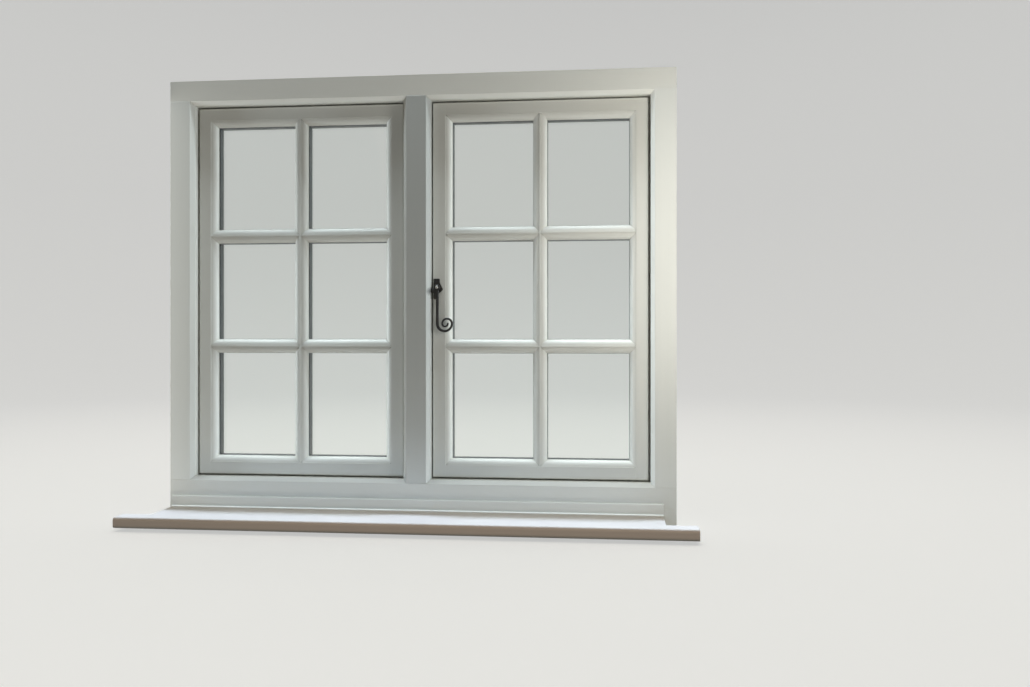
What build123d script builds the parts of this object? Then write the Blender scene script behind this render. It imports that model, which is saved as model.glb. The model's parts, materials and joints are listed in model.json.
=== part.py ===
from build123d import *
import os

# Stormproof timber casement window with two lights side by side. The left light is a fixed
# sash and the right one is hung on its right stile, outside. Seen from the room: X runs to
# the right, Y runs outwards through the wall and Z runs up. The origin is under the sub-sill,
# at mid width and at the middle of the frame's depth.

# Frame
frame_width = 1195.0
frame_height = 1045.0
frame_depth = 69.0
jamb_width = 57.0
head_height = 57.0
mullion_width = 64.0
splay = 9.0
stop_depth = 38.0
rebate = 12.0

# Sill under the lights, and the sub-sill under that
sill_height = 57.0
sill_apron = 26.0
sill_nose_height = 22.0
sash_drip_clearance = 5.0
sub_sill_height = 46.0
sub_sill_apron = 48.0
sub_sill_nose_height = 34.0
sub_sill_nose_radius = 6.0
drip_groove_width = 8.0
drip_groove_depth = 6.0
drip_groove_inset = 12.0

# Window board in the room, with a horn beyond the plaster at each end
board_thickness = 25.0
board_top = 32.0
board_projection = 150.0
reveal_width = 1158.0
reveal_depth = 106.0
reveal_shift = -11.0
horn_length = 68.0
nosing_radius = 8.0
board_tongue_thickness = 10.0
board_tongue_length = 10.0
board_tongue_clearance = 0.3

# Cover fillet over the joint of sill and sub-sill
fillet_height = 26.5
fillet_thickness = 6.0
fillet_radius = 3.0

# Sashes
sash_setback = 24.5
sash_gap = 4.0
lock_gap = 2.5
sash_thickness = 57.0
sash_arris = 1.5
seal_thickness = 3.0
seal_width = 6.0
seal_inset = 0.5
lip_lap = 11.0
lip_clearance = 1.5
lip_arris = 3.0
rail_face = 29.0
bar_nose = 4.0
bar_spacing = 264.0

# Ovolo moulding round each pane, on the room side
ovolo_radius = 14.0
ovolo_quirk = 1.5

# Sealed units and their outside beads
glazing_rebate = 9.0
glass_bedding = 1.0
unit_clearance = 2.0
glass_thickness = 4.0
cavity = 16.0
spacer_sight = 1.0
bead_depth = 15.0
bead_inner_height = 8.0
bead_outer_height = 2.0

# Cranked hinges outside, on the right stile of the right sash
hinge_height = 65.0
hinge_inset = 150.0
leaf_thickness = 2.5
leaf_width = 25.0
knuckle_radius = 4.5
knuckle_gap = 0.3
knuckle_lift = 0.2
pin_radius = 2.4
pin_clearance = 0.05
pin_head_radius = 4.0
pin_head_height = 1.5
hinge_standoff = 0.5

# Back plate and pivot of the fastener, on the left stile of the right sash
pivot_from_sash_edge = 11.2
pivot_height = 551.3
plate_thickness = 3.0
plate_inset = 2.9
plate_top_width = 13.6
plate_top_rise = 20.4
plate_shoulder_rise = 11.4
plate_belly_width = 21.9
plate_belly_drop = 5.0
plate_foot_width = 11.2
plate_foot_drop = 15.0
plate_corner_radius = 1.5
plate_belly_radius = 4.0
pivot_radius = 3.0
pivot_clearance = 0.05
pivot_head_radius = 3.8
pivot_head_height = 1.6
pivot_head_chamfer = 1.0

# Handle of the fastener: hub, nose and the tail with its scroll
hub_radius = 7.5
hub_chamfer = 1.0
handle_thickness = 8.0
handle_clearance = 0.3
lobe_radius = 4.5
lobe_offset = 4.0
lobe_drop = 23.5
nose_engagement = 8.0
nose_top_drop = 3.0
nose_root_height = 10.0
nose_tip_height = 7.0
tail_offset = 1.2
tail_drop = 84.8
tail_width = 6.6
tail_thickness = 5.5
tail_chamfer = 1.4
first_turn = 34.6
second_turn = 23.0
third_turn = 13.3
first_turn_width = 5.0
second_turn_width = 4.2
third_turn_width = 4.0

# Slotted strike plate, let into the mullion, and the mortice behind it
strike_thickness = 1.5
strike_inset = 1.0
strike_width = 18.0
strike_margin = 10.0
mortice_height = 23.8
mortice_clearance = 1.5

# How far a cutter passes the face that it opens
overrun = 1.0

# Places worked out from the sizes above
room = -frame_depth / 2
outside = frame_depth / 2
half_width = frame_width / 2
sill_bottom = sub_sill_height
sill_edge = sub_sill_height + sill_height
head_edge = frame_height - head_height
sash_face = room + sash_setback
sash_step = room + stop_depth + seal_thickness
lip_back = outside + lip_clearance
sash_back = sash_face + sash_thickness
lip_reach = rebate + lip_lap
ovolo_back = sash_face + ovolo_quirk + ovolo_radius
glass_seat = ovolo_back + glass_bedding
unit_margin = glazing_rebate - unit_clearance
unit_back = glass_seat + cavity + 2 * glass_thickness
board_left = reveal_shift - reveal_width / 2
board_right = reveal_shift + reveal_width / 2
lights = {
    "left": (-half_width + jamb_width, -mullion_width / 2),
    "right": (mullion_width / 2, half_width - jamb_width),
}

# The hung casement on the right sits closer to the mullion than to its hinges
side_gaps = {
    "left": (sash_gap, sash_gap),
    "right": (lock_gap, 2 * sash_gap - lock_gap),
}

# The plane of a lying member's section: its first axis is Z and its second is Y
lying = Plane(origin=(0, 0, 0), x_dir=(0, 0, 1), z_dir=(-1, 0, 0))


def block(x0, x1, y0, y1, z0, z1):
    """A box between two corners."""
    return Pos(x0, y0, z0) * Box(x1 - x0, y1 - y0, z1 - z0, align=(Align.MIN,) * 3)


def polygon(points):
    return make_face(Polyline(points, close=True))


def stand(section, z0, z1):
    """A length that stands, whose section is drawn in X and Y."""
    return Pos(0, 0, z0) * extrude(section, z1 - z0)


def lay(section, x0, x1):
    """A length that lies, whose section is drawn in Z and Y."""
    return Pos(x0, 0, 0) * extrude(lying * section, x1 - x0, dir=(1, 0, 0))


def save(name, *solids):
    """Write one named piece, which may hold several like solids."""
    shape = solids[0] if len(solids) == 1 else Compound(list(solids))
    export_step(shape, f"parts/{name}.step")


# Frame members
def stop_side(edge, inwards):
    """Splay, stop and rebate of a frame member, from the room face to the outer face.
    The edge is the stop's, and inwards is the direction into the member."""
    return [
        (edge + inwards * splay, room),
        (edge, room + splay),
        (edge, room + stop_depth),
        (edge + inwards * rebate, room + stop_depth),
        (edge + inwards * rebate, outside),
    ]


def frame_head():
    section = polygon([*stop_side(head_edge, 1), (frame_height, outside), (frame_height, room)])
    return lay(section, -half_width, half_width)


def frame_sill():
    """The sill, whose outer part slopes down from under the sash's lip to its nose."""
    slope_top = sill_edge - lip_reach - sash_drip_clearance
    apron = outside + sill_apron
    points = [
        *stop_side(sill_edge, -1),
        (slope_top, outside),
        (sill_bottom + sill_nose_height, apron),
        (sill_bottom, apron),
        (sill_bottom, room),
    ]
    return lay(polygon(points), -half_width, half_width)


def frame_upright(points):
    """A jamb or mullion, scribed over the sill and under the head."""
    prism = stand(polygon(points), sill_bottom + overrun, frame_height - overrun)
    return prism - frame_sill() - frame_head()


def frame_jamb(side):
    outer = side * half_width
    edge = outer - side * jamb_width
    return frame_upright([*stop_side(edge, side), (outer, outside), (outer, room)])


def frame_mullion():
    left = stop_side(-mullion_width / 2, 1)
    right = stop_side(mullion_width / 2, -1)
    return frame_upright([*left, *reversed(right)]) - strike_recess() - mortice()


def sub_sill():
    apron = outside + sill_apron
    nose = apron + sub_sill_apron
    groove = nose - drip_groove_inset
    points = [
        (0, room),
        (sub_sill_height, room),
        (sub_sill_height, apron),
        (sub_sill_nose_height, nose),
        (0, nose),
    ]
    body = lay(polygon(points), -half_width, half_width)
    nose_edges = body.edges().filter_by(Axis.X).group_by(Axis.Y)[-1]
    body = fillet(nose_edges, sub_sill_nose_radius)
    body -= block(-half_width, half_width, groove - drip_groove_width, groove, 0, drip_groove_depth)
    return body - board_tongue(board_tongue_clearance)


# Window board and its cover fillet
def board_tongue(clearance=0.0):
    middle = board_top - board_thickness / 2
    half = board_tongue_thickness / 2 + clearance
    return block(
        board_left - clearance,
        board_right + clearance,
        room - board_tongue_length,
        room + board_tongue_length + clearance,
        middle - half,
        middle + half,
    )


def window_board():
    front = room - board_projection
    bottom = board_top - board_thickness
    body = block(board_left, board_right, front, room, bottom, board_top)
    wall = room - reveal_depth
    body += block(board_left - horn_length, board_right + horn_length, front, wall, bottom, board_top)
    nosing = body.edges().filter_by(Axis.X).group_by(Axis.Y)[0]
    return fillet(nosing, nosing_radius) + board_tongue()


def cover_fillet():
    body = block(
        board_left, board_right, room - fillet_thickness, room, board_top, board_top + fillet_height
    )
    arris = body.edges().filter_by(Axis.X).group_by(Axis.Y)[0].sort_by(Axis.Z)[-1]
    return fillet(arris, fillet_radius)


# Sashes
def sash_sights(light):
    """Sight lines of one sash: the panes' edges across and up, in order."""
    left, right = lights[light]
    margin = sash_gap + rail_face + ovolo_radius
    half_bar = bar_nose / 2 + ovolo_radius
    middle_x = (left + right) / 2
    lower = (sill_edge + head_edge - bar_spacing) / 2
    upper = lower + bar_spacing
    across = [
        (left + margin, middle_x - half_bar),
        (middle_x + half_bar, right - margin),
    ]
    up = [
        (sill_edge + margin, lower - half_bar),
        (lower + half_bar, upper - half_bar),
        (upper + half_bar, head_edge - margin),
    ]
    return across, up


def panes(light):
    across, up = sash_sights(light)
    return [(x0, x1, z0, z1) for z0, z1 in up for x0, x1 in across]


def slab(opening, margin, y0, y1):
    """A flat rectangle as large as an opening and its margin, between two depths."""
    x0, x1, z0, z1 = opening
    return block(x0 - margin, x1 + margin, y0, y1, z0 - margin, z1 + margin)


def ring(opening, outer, inner, y0, y1):
    return slab(opening, outer, y0, y1) - slab(opening, inner, y0 - overrun, y1 + overrun)


def sash_blank(light):
    """The sash as one board: the part inside the stop, the rebated step and the storm lip."""
    left, right = lights[light]
    gap_left, gap_right = side_gaps[light]
    opening = (left, right, sill_edge, head_edge)
    edges = (left + gap_left, right - gap_right, sill_edge + sash_gap, head_edge - sash_gap)
    inside = slab(edges, 0, sash_face, sash_back)
    inside = fillet(inside.faces().sort_by(Axis.Y)[0].edges(), sash_arris)
    lip = slab(opening, lip_reach, lip_back, sash_back)
    lip = fillet(lip.faces().sort_by(Axis.Y)[-1].edges(), lip_arris)
    return inside + slab(edges, rebate, sash_step, lip_back) + lip


def moulded_edge(sight, out):
    """Ovolo and glazing rebate at one sight line, from the room face to the sash's back.
    Out is the direction into the pane."""
    quirk = sight - out * ovolo_radius
    seat = sight - out * glazing_rebate
    arc = CenterArc((quirk, ovolo_back), ovolo_radius, 270, out * 90)
    edge = Line((quirk, sash_face), (quirk, sash_face + ovolo_quirk)) + arc
    return edge + Polyline((sight, ovolo_back), (sight, glass_seat), (seat, glass_seat), (seat, sash_back))


def border_section(sight, out, outer):
    """A stile or rail: moulded at its sight line and plain out to its outer edge."""
    quirk = sight - out * ovolo_radius
    seat = sight - out * glazing_rebate
    rest = Polyline((seat, sash_back), (outer, sash_back), (outer, sash_face), (quirk, sash_face))
    return make_face(moulded_edge(sight, out) + rest)


def bar_section(middle):
    """A glazing bar: moulded on both sides of its narrow nose."""
    half_nose = bar_nose / 2
    half_bar = half_nose + ovolo_radius
    half_stem = half_bar - glazing_rebate
    sides = moulded_edge(middle - half_bar, -1) + moulded_edge(middle + half_bar, 1)
    nose = Line((middle - half_nose, sash_face), (middle + half_nose, sash_face))
    stem = Line((middle - half_stem, sash_back), (middle + half_stem, sash_back))
    return make_face(sides + nose + stem)


def sash_members(light):
    """Stiles run through, rails are scribed over the stiles' moulding, the upright bar over
    the rails', and the cross bars over the stiles' and the upright bar's."""
    left, right = lights[light]
    across, up = sash_sights(light)
    blank = sash_blank(light)
    beyond = lip_reach + overrun
    x0, x1 = left - beyond, right + beyond
    z0, z1 = sill_edge - beyond, head_edge + beyond
    inset = sash_gap + rail_face / 2

    stile_left = blank & stand(border_section(across[0][0], 1, x0), z0, z1)
    stile_right = blank & stand(border_section(across[-1][1], -1, x1), z0, z1)
    stiles = stile_left + stile_right
    bottom_rail = (blank & lay(border_section(up[0][0], 1, z0), x0, x1)) - stiles
    top_rail = (blank & lay(border_section(up[-1][1], -1, z1), x0, x1)) - stiles

    middle_x = (left + right) / 2
    bar_vertical = stand(bar_section(middle_x), sill_edge + inset, head_edge - inset)
    bar_vertical = bar_vertical - bottom_rail - top_rail
    members = {
        "stile_left": [stile_left],
        "stile_right": [stile_right],
        "bottom_rail": [bottom_rail],
        "top_rail": [top_rail],
        "bar_vertical": [bar_vertical],
    }
    for name, below, above in (("bars_lower", up[0], up[1]), ("bars_upper", up[1], up[2])):
        length = lay(bar_section((below[1] + above[0]) / 2), left + inset, right - inset)
        members[name] = (length - stiles - bar_vertical).solids()
    return members


def weatherseal(light):
    left, right = lights[light]
    opening = (left, right, sill_edge, head_edge)
    return ring(opening, seal_inset + seal_width, seal_inset, room + stop_depth, sash_step)


# Sealed units
def glass_inner(pane):
    return slab(pane, unit_margin, glass_seat, glass_seat + glass_thickness)


def glass_outer(pane):
    return slab(pane, unit_margin, unit_back - glass_thickness, unit_back)


def spacer(pane):
    start = glass_seat + glass_thickness
    return ring(pane, unit_margin, -spacer_sight, start, start + cavity)


def pane_outline(pane, margin, y):
    """A pane's opening, made larger by a margin, as a flat face at one depth."""
    x0, x1, z0, z1 = pane
    corners = [(x0 - margin, z0 - margin), (x1 + margin, z0 - margin)]
    corners += [(x1 + margin, z1 + margin), (x0 - margin, z1 + margin)]
    return make_face(Polyline(*[(x, y, z) for x, z in corners], close=True))


def glazing_bead(pane):
    """Four bead strips, splayed from the glass down to a low edge outside."""
    bead_back = unit_back + bead_depth
    splay_rate = (bead_inner_height - bead_outer_height) / bead_depth
    inner_margin = glazing_rebate - bead_inner_height - splay_rate * overrun
    outer_margin = glazing_rebate - bead_outer_height + splay_rate * overrun
    mouth = [
        pane_outline(pane, inner_margin, unit_back - overrun),
        pane_outline(pane, outer_margin, bead_back + overrun),
    ]
    return slab(pane, glazing_rebate, unit_back, bead_back) - loft(mouth)


# Hinges
def hinge_axis():
    x = lights["right"][1] + lip_reach + hinge_standoff + knuckle_radius
    y = outside + knuckle_radius + knuckle_lift
    return x, y


def rod(radius, z0, z1):
    """A cylinder on the hinge axis between two heights."""
    x, y = hinge_axis()
    return Pos(x, y, (z0 + z1) / 2) * Cylinder(radius, z1 - z0)


def hinge(z0):
    """Frame leaf, sash leaf and pin of one hinge, whose foot is at z0."""
    x, y = hinge_axis()
    z1 = z0 + hinge_height
    low = z0 + hinge_height / 3
    high = z1 - hinge_height / 3
    bore = rod(pin_radius + pin_clearance, z0 - overrun, z1 + overrun)

    clear = knuckle_radius + knuckle_gap
    frame_leaf = block(x, x + leaf_width, outside, outside + leaf_thickness, z0, z1)
    frame_leaf -= block(
        x - overrun, x + clear, outside - overrun, y + clear, low - knuckle_gap, high + knuckle_gap
    )
    frame_leaf += rod(knuckle_radius, z0, low - knuckle_gap)
    frame_leaf += rod(knuckle_radius, high + knuckle_gap, z1)

    web_left = lights["right"][1] + lip_reach + hinge_standoff
    web_right = web_left + leaf_thickness
    face = sash_back + leaf_thickness
    sash_leaf = block(web_left - leaf_width, web_right, sash_back, face, z0, z1)
    sash_leaf += block(web_left, web_right, y + clear, face, z0, z1)
    sash_leaf += block(web_left, web_right, y, face, low, high)
    sash_leaf += rod(knuckle_radius, low, high)

    pin = rod(pin_radius, z0, z1)
    pin += rod(pin_head_radius, z0 - pin_head_height, z0)
    pin += rod(pin_head_radius, z1, z1 + pin_head_height)
    return frame_leaf - bore, sash_leaf - bore, pin


# Fastener
sash_edge = lights["right"][0] + lock_gap
pivot_x = sash_edge + pivot_from_sash_edge
plate_front = sash_face - plate_thickness
handle_back = plate_front - handle_clearance
handle_front = handle_back - handle_thickness
nose_top = pivot_height - nose_top_drop


def disc(radius, y0, y1):
    """A cylinder on the pivot's axis between two depths."""
    return Pos(pivot_x, (y0 + y1) / 2, pivot_height) * Rot(90, 0, 0) * Cylinder(radius, y1 - y0)


def upright_plate(outline, y0, y1):
    """A plate parallel to the glass, whose outline is drawn in X and Z."""
    return Pos(0, y1, 0) * extrude(Plane.XZ * outline, y1 - y0)


def fastener_plate():
    """Back plate: a narrow top, a belly pointed to the right and a narrow foot."""
    left = sash_edge + plate_inset
    top = pivot_height + plate_top_rise
    foot = pivot_height - plate_foot_drop
    corners = [
        (left, top),
        (left + plate_top_width, top),
        (left + plate_top_width, pivot_height + plate_shoulder_rise),
        (left + plate_belly_width, pivot_height - plate_belly_drop),
        (left + plate_foot_width, foot),
        (left, foot),
    ]
    corner, belly = plate_corner_radius, plate_belly_radius
    radii = [corner, corner, belly, belly, corner, corner]
    outline = make_face(FilletPolyline(corners, radius=radii, close=True))
    plate = upright_plate(outline, plate_front, sash_face)
    return plate - disc(pivot_radius + pivot_clearance, plate_front - overrun, sash_face + overrun)


def fastener_pivot():
    """A rivet, whose head stands proud of the handle."""
    under = handle_front - handle_clearance
    head = disc(pivot_head_radius, under - pivot_head_height, under)
    head = chamfer(head.edges().sort_by(Axis.Y)[0], pivot_head_chamfer)
    return head + disc(pivot_radius, under, sash_face)


def half_turns(crossings, level):
    """Half circles through places on one level, below it and above it in turn."""
    turns = Curve()
    for start, end in zip(crossings, crossings[1:]):
        angle = 180 if end > start else 0
        turns += CenterArc(((start + end) / 2, level), abs(end - start) / 2, angle, 180)
    return turns


def handle_tail():
    """Straight tail and its scroll, which narrows from each half turn to the next."""
    level = pivot_height - tail_drop
    x0 = pivot_x + tail_offset
    x1 = x0 + first_turn
    x2 = x1 - second_turn
    x3 = x2 + third_turn
    half0, half1 = tail_width / 2, first_turn_width / 2
    half2, half3 = second_turn_width / 2, third_turn_width / 2
    outline = half_turns([x0 - half0, x1 + half1, x2 - half2, x3 + half3], level)
    outline += half_turns([x0 + half0, x1 - half1, x2 + half2, x3 - half3], level)
    outline += CenterArc((x3, level), half3, 0, 180)
    outline += Polyline(
        (x0 - half0, level), (x0 - half0, pivot_height), (x0 + half0, pivot_height), (x0 + half0, level)
    )
    tail = upright_plate(make_face(outline), handle_front, handle_front + tail_thickness)
    faces = tail.faces().sort_by(Axis.Y)
    return chamfer(faces[0].edges() + faces[-1].edges(), tail_chamfer)


def fastener_handle():
    pivot = Pos(pivot_x, pivot_height)
    lobe = Pos(pivot_x - lobe_offset, pivot_height - lobe_drop) * Circle(lobe_radius)
    lobe_root = pivot * Circle(lobe_radius)
    nose_tip = lights["right"][0] - nose_engagement
    nose = polygon([
        (pivot_x, nose_top),
        (nose_tip, nose_top),
        (nose_tip, nose_top - nose_tip_height),
        (pivot_x, nose_top - nose_root_height),
    ])
    outline = pivot * Circle(hub_radius) + make_hull(lobe.edges() + lobe_root.edges()) + nose
    head = upright_plate(outline, handle_front, handle_back)
    head = chamfer(head.faces().sort_by(Axis.Y)[0].edges(), hub_chamfer)
    bore = disc(pivot_radius + pivot_clearance, handle_front - overrun, handle_back + overrun)
    return head + handle_tail() - bore


def mortice():
    """The pocket in the mullion that the nose swings into."""
    edge = mullion_width / 2
    top = nose_top + mortice_clearance
    return block(
        edge - nose_engagement - mortice_clearance,
        edge + overrun,
        handle_front - mortice_clearance,
        handle_back + mortice_clearance,
        top - mortice_height,
        top,
    )


def strike_recess():
    edge = mullion_width / 2
    start = room + splay + strike_inset
    top = nose_top + mortice_clearance + strike_margin
    bottom = top - mortice_height - 2 * strike_margin
    return block(edge - strike_thickness, edge, start, start + strike_width, bottom, top)


def fastener_strike():
    return strike_recess() - mortice()


def build():
    os.makedirs("parts", exist_ok=True)
    save("frame_head", frame_head())
    save("frame_sill", frame_sill())
    save("frame_jamb_left", frame_jamb(-1))
    save("frame_jamb_right", frame_jamb(1))
    save("frame_mullion", frame_mullion())
    save("sub_sill", sub_sill())
    save("window_board", window_board())
    save("cover_fillet", cover_fillet())
    for light in lights:
        for name, solids in sash_members(light).items():
            save(f"{light}_{name}", *solids)
        save(f"{light}_weatherseal", weatherseal(light))
        for name, piece in (
            ("glass_inner", glass_inner),
            ("glass_outer", glass_outer),
            ("spacers", spacer),
            ("glazing_beads", glazing_bead),
        ):
            save(f"{light}_{name}", *(piece(pane) for pane in panes(light)))
    heights = {
        "lower": sill_edge + hinge_inset,
        "upper": head_edge - hinge_inset - hinge_height,
    }
    for place, z0 in heights.items():
        for name, solid in zip(("frame_leaf", "sash_leaf", "pin"), hinge(z0)):
            save(f"hinge_{place}_{name}", solid)
    save("fastener_plate", fastener_plate())
    save("fastener_handle", fastener_handle())
    save("fastener_pivot", fastener_pivot())
    save("fastener_strike", fastener_strike())


build()
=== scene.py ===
import json
import math

import bmesh
import bpy
from bpy.props import (
    FloatProperty,
    FloatVectorProperty,
    IntProperty,
    PointerProperty,
)
from mathutils import Matrix, Vector

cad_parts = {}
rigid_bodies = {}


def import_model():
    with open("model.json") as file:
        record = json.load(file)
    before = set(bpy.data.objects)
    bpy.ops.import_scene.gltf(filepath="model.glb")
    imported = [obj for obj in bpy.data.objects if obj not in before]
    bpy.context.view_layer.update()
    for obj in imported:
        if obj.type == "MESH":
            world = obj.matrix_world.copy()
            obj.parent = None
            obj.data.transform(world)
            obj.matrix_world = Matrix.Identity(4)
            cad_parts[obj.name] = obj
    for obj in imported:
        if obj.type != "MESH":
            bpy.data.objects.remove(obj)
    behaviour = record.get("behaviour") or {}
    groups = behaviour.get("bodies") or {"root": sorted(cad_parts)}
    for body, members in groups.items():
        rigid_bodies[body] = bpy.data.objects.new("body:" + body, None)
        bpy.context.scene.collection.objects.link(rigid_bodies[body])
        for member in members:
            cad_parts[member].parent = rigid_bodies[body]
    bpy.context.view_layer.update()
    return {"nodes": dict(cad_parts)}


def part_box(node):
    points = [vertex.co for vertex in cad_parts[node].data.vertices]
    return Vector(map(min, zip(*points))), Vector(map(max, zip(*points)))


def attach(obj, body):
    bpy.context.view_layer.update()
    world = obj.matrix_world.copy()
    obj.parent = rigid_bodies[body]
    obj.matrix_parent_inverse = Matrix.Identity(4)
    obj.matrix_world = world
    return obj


bl_info = {
    "name": "Stormproof casement window",
    "version": (1, 0, 0),
    "blender": (4, 5, 0),
    "location": "View3D > Sidebar > Casement",
    "description": "Paint, glass, fixings and studio for a two-light timber casement window",
    "category": "Object",
}

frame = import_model()
nodes = frame["nodes"]

# The window's two lights: the left one is fixed and the right one is hung
LIGHTS = ("left", "right")

# The axes along which timber runs and metal is brushed
LEVEL, UPRIGHT = 0, 2

# Corners nearer than this in metres are one corner, in a CAD node and in a turned shape
SAME_CORNER = 0.00001
SAME_SEAM = 0.000001

# How far across a glazing bead its splay runs for each unit that it falls back
BEAD_SLOPE = 0.4

# How much a sheet of glass mirrors face on, and how fast that grows at a slant
FACE_ON_MIRROR = 0.04
SLANT_POWER = 5

# The smudge and painted shadow on the mullion: one over its reach in metres on each axis, and its
# scuffs in a metre
SMUDGE_AND_SHADOW_SHRINK = (105.0, 50.0, 80.0)
SCUFF_SCALE = (260.0, 260.0, 1500.0)

# The photograph's camera in metres and radians, its lens and sensor in mm, its picture in pixels
PICTURE_WIDTH = 1030
HORIZON_ABOVE_MIDDLE = 8.5
CAMERA_PLACE = (0.451, -2.134, 0.440)
CAMERA_TURN = 0.1044
CAMERA_LENS = 32.12
SENSOR_WIDTH = 36.0
NEAREST_SEEN = 0.05
FURTHEST_SEEN = 50.0

# The studio's lights: the place that most of them aim at, and their colours
MIDDLE = (0.0, 0.0, 0.55)
DAYLIGHT = (0.89, 0.96, 1.0)
CLEAR_LIGHT = (0.84, 0.94, 1.0)
COOL_LIGHT = (0.80, 0.92, 1.0)
PLAIN_LIGHT = (1.0, 0.99, 0.93)
WARM_LIGHT = (1.0, 0.84, 0.64)
BOARD_FRONT_LIGHT = (1.0, 0.73, 0.57)
BOARD_TOP_LIGHT = (0.68, 0.79, 1.0)
BOARD_BOUNCE_LIGHT = (0.45, 0.70, 1.0)
AMBIENT_LIGHT = (1.0, 0.96, 0.82)

# The groups of things that a light can be kept to, and the nodes that decide on them
LIT_GROUPS = (
    "window",
    "board",
    "joinery",
    "head",
    "head_and_sill",
    "between",
    "beside_mullion",
    "left_light",
    "rails",
    "studio",
)
HEAD_AND_SILL = ("frame_head", "frame_sill", "cover_fillet", "sub_sill")
RAILS = ("frame_sill", "left_bottom_rail", "right_bottom_rail")


# Values and node trees
class Value:
    """An output of a node tree. Arithmetic on it adds Math nodes."""

    def __init__(self, graph, socket):
        self.graph = graph
        self.socket = socket

    def math(self, operation, first, second):
        return self.graph.node("ShaderNodeMath", {"operation": operation}, {0: first, 1: second})

    def __add__(self, other):
        return self.math("ADD", self, other)

    def __radd__(self, other):
        return self.math("ADD", other, self)

    def __sub__(self, other):
        return self.math("SUBTRACT", self, other)

    def __rsub__(self, other):
        return self.math("SUBTRACT", other, self)

    def __mul__(self, other):
        return self.math("MULTIPLY", self, other)

    def __rmul__(self, other):
        return self.math("MULTIPLY", other, self)

    def __pow__(self, other):
        return self.math("POWER", self, other)


class Graph:
    """A node tree in the making."""

    def __init__(self, tree):
        self.tree = tree

    def node(self, kind, settings=None, sockets=None, output=0):
        """Add a node, set its settings and then its sockets, and return one of its outputs."""
        node = self.tree.nodes.new(kind)
        for name, setting in (settings or {}).items():
            setattr(node, name, setting)
        for name, value in (sockets or {}).items():
            if isinstance(value, Value):
                self.tree.links.new(value.socket, node.inputs[name])
            else:
                node.inputs[name].default_value = value
        return Value(self, node.outputs[output]) if len(node.outputs) else None


class Shader(Graph):
    """The material of one finish, written in Object coordinates."""

    def __init__(self, name):
        self.material = bpy.data.materials.new(name)
        self.material.use_nodes = True
        super().__init__(self.material.node_tree)
        self.tree.nodes.clear()
        self.place = self.node("ShaderNodeTexCoord", output="Object")

    def stretched(self, scale):
        return self.node("ShaderNodeMapping", {}, {"Vector": self.place, "Scale": scale})

    def noise(self, scale, detail=3.0, roughness=0.55, vector=None):
        sockets = {"Vector": vector or self.place, "Scale": scale, "Detail": detail}
        return self.node("ShaderNodeTexNoise", {}, {**sockets, "Roughness": roughness})

    def streaks(self, axis, along, across, detail, roughness):
        """Noise with one scale along an axis and another across it."""
        scales = [across] * 3
        scales[axis] = along
        return self.noise(1.0, detail, roughness, self.stretched(scales))

    def between(self, value, low, high, to_low=0.0, to_high=1.0):
        """A value brought from one range to another, and held inside it."""
        settings = {"interpolation_type": "SMOOTHSTEP"}
        ranges = {"From Min": low, "From Max": high, "To Min": to_low, "To Max": to_high}
        return self.node("ShaderNodeMapRange", settings, {"Value": value, **ranges})

    def mix(self, factor, first, second):
        """A colour between two others. Sockets 6 and 7 and output 2 are the node's colours."""
        sockets = {"Factor": factor, 6: first, 7: second}
        return self.node("ShaderNodeMix", {"data_type": "RGBA"}, sockets, output=2)

    def vector_math(self, operation, first, second):
        return self.node("ShaderNodeVectorMath", {"operation": operation}, {0: first, 1: second})

    def smudge_and_shadow(self, middle):
        """How strongly a streaked smudge and painted shadow cover the surface round a point."""
        away = self.vector_math("SUBTRACT", self.place, middle)
        scaled = self.vector_math("MULTIPLY", away, SMUDGE_AND_SHADOW_SHRINK)
        distance = self.node(
            "ShaderNodeVectorMath", {"operation": "LENGTH"}, {0: scaled}, output="Value"
        )
        scuffs = self.noise(1.0, detail=4.0, roughness=0.65, vector=self.stretched(SCUFF_SCALE))
        return self.between(distance + scuffs * 1.5, 0.85, 1.75, to_low=0.85, to_high=0.0)

    def bump(self, height, depth, strength, arris):
        """Relief on surfaces whose sharp edges are softened by a radius."""
        edge = self.node("ShaderNodeBevel", {"samples": 4}, {"Radius": arris})
        sockets = {"Height": height, "Distance": depth, "Strength": strength, "Normal": edge}
        return self.node("ShaderNodeBump", {}, sockets)

    def surface(self, shader):
        self.node("ShaderNodeOutputMaterial", {}, {"Surface": shader})
        return self.material

    def finish(self, **sockets):
        """End the material with a Principled surface."""
        named = {name.replace("_", " "): value for name, value in sockets.items()}
        return self.surface(self.node("ShaderNodeBsdfPrincipled", {}, named))


def rgba(colour):
    return (*colour, 1.0)


def shade(colour, share):
    return (*(part * share for part in colour), 1.0)


def cover(names, material):
    """Give CAD nodes their finish."""
    for name in names:
        slots = nodes[name].data.materials
        slots.clear()
        slots.append(material)


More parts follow.
